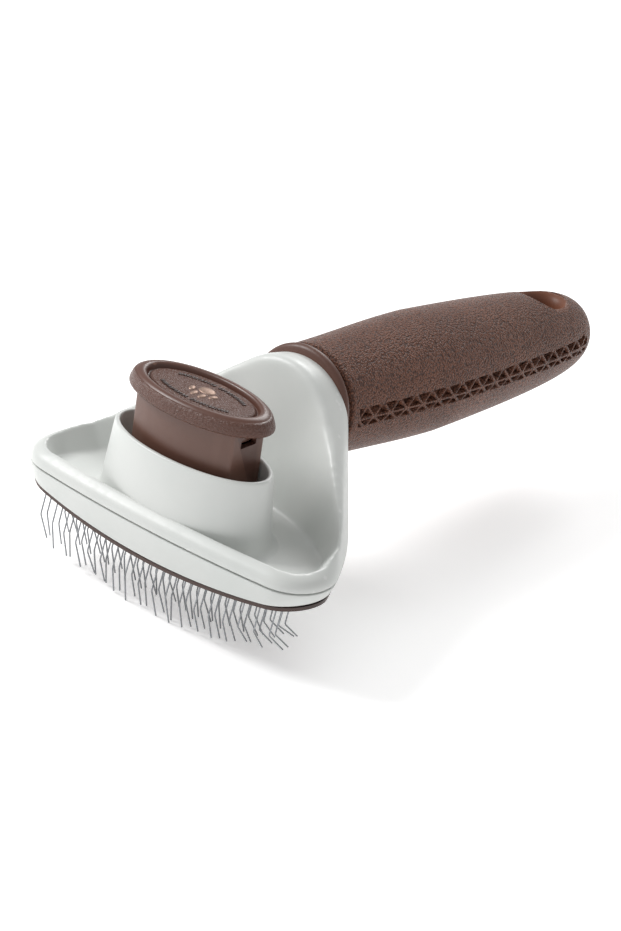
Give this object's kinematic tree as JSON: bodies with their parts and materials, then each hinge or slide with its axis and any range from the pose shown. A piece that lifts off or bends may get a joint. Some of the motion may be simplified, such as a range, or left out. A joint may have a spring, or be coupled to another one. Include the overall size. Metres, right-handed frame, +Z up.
{
  "type": "slicker brush",
  "caption": "Grooming slicker brush with bent wire staples on a rocker-curved head, a push button that drives an ejector plate, and a soft grip with a hanging hole.",
  "frame": {"origin": "middle of the bottom of the bounding box, level with the lowest wire tips", "axes": "+Y from the head to the handle's end, +Z up through the button, X across the head"},
  "size_m": [0.099, 0.1832, 0.0626],
  "materials": {
    "shell": "pale grey moulded plastic, satin",
    "inner_plastic": "moulded, matt",
    "cushion": "matt",
    "screw": "plated",
    "wire": "drawn wire",
    "core": "moulded, smooth",
    "grip": "soft, leather grain",
    "button": "moulded, fine grain",
    "plate": "moulded, smooth"
  },
  "bodies": {
    "brush": {"upper_shell": "shell", "lower_frame": "shell", "frame_screws": "screw", "button_guide": "inner_plastic", "bristle_board": "inner_plastic", "bristle_cushion": "cushion", "board_screws": "screw", "front_staples": "wire", "back_staples": "wire", "neck_screws": "screw", "handle_core": "core", "grip_sleeve": "grip", "return_spring_left": "wire", "return_spring_right": "wire"},
    "ejector": {"button_cap": "button", "button_sleeve": "button", "ejector_posts": "wire", "ejector_plate": "plate"}
  },
  "joints": [
    {"name": "button_press", "type": "slide", "parent": "brush", "child": "ejector", "axis": [0, 0, -1], "range_m": [0, 0.01], "stiffness_N_per_m": 600, "springref_m": -0.01, "deforming": ["return_spring_left", "return_spring_right"]}
  ]
}
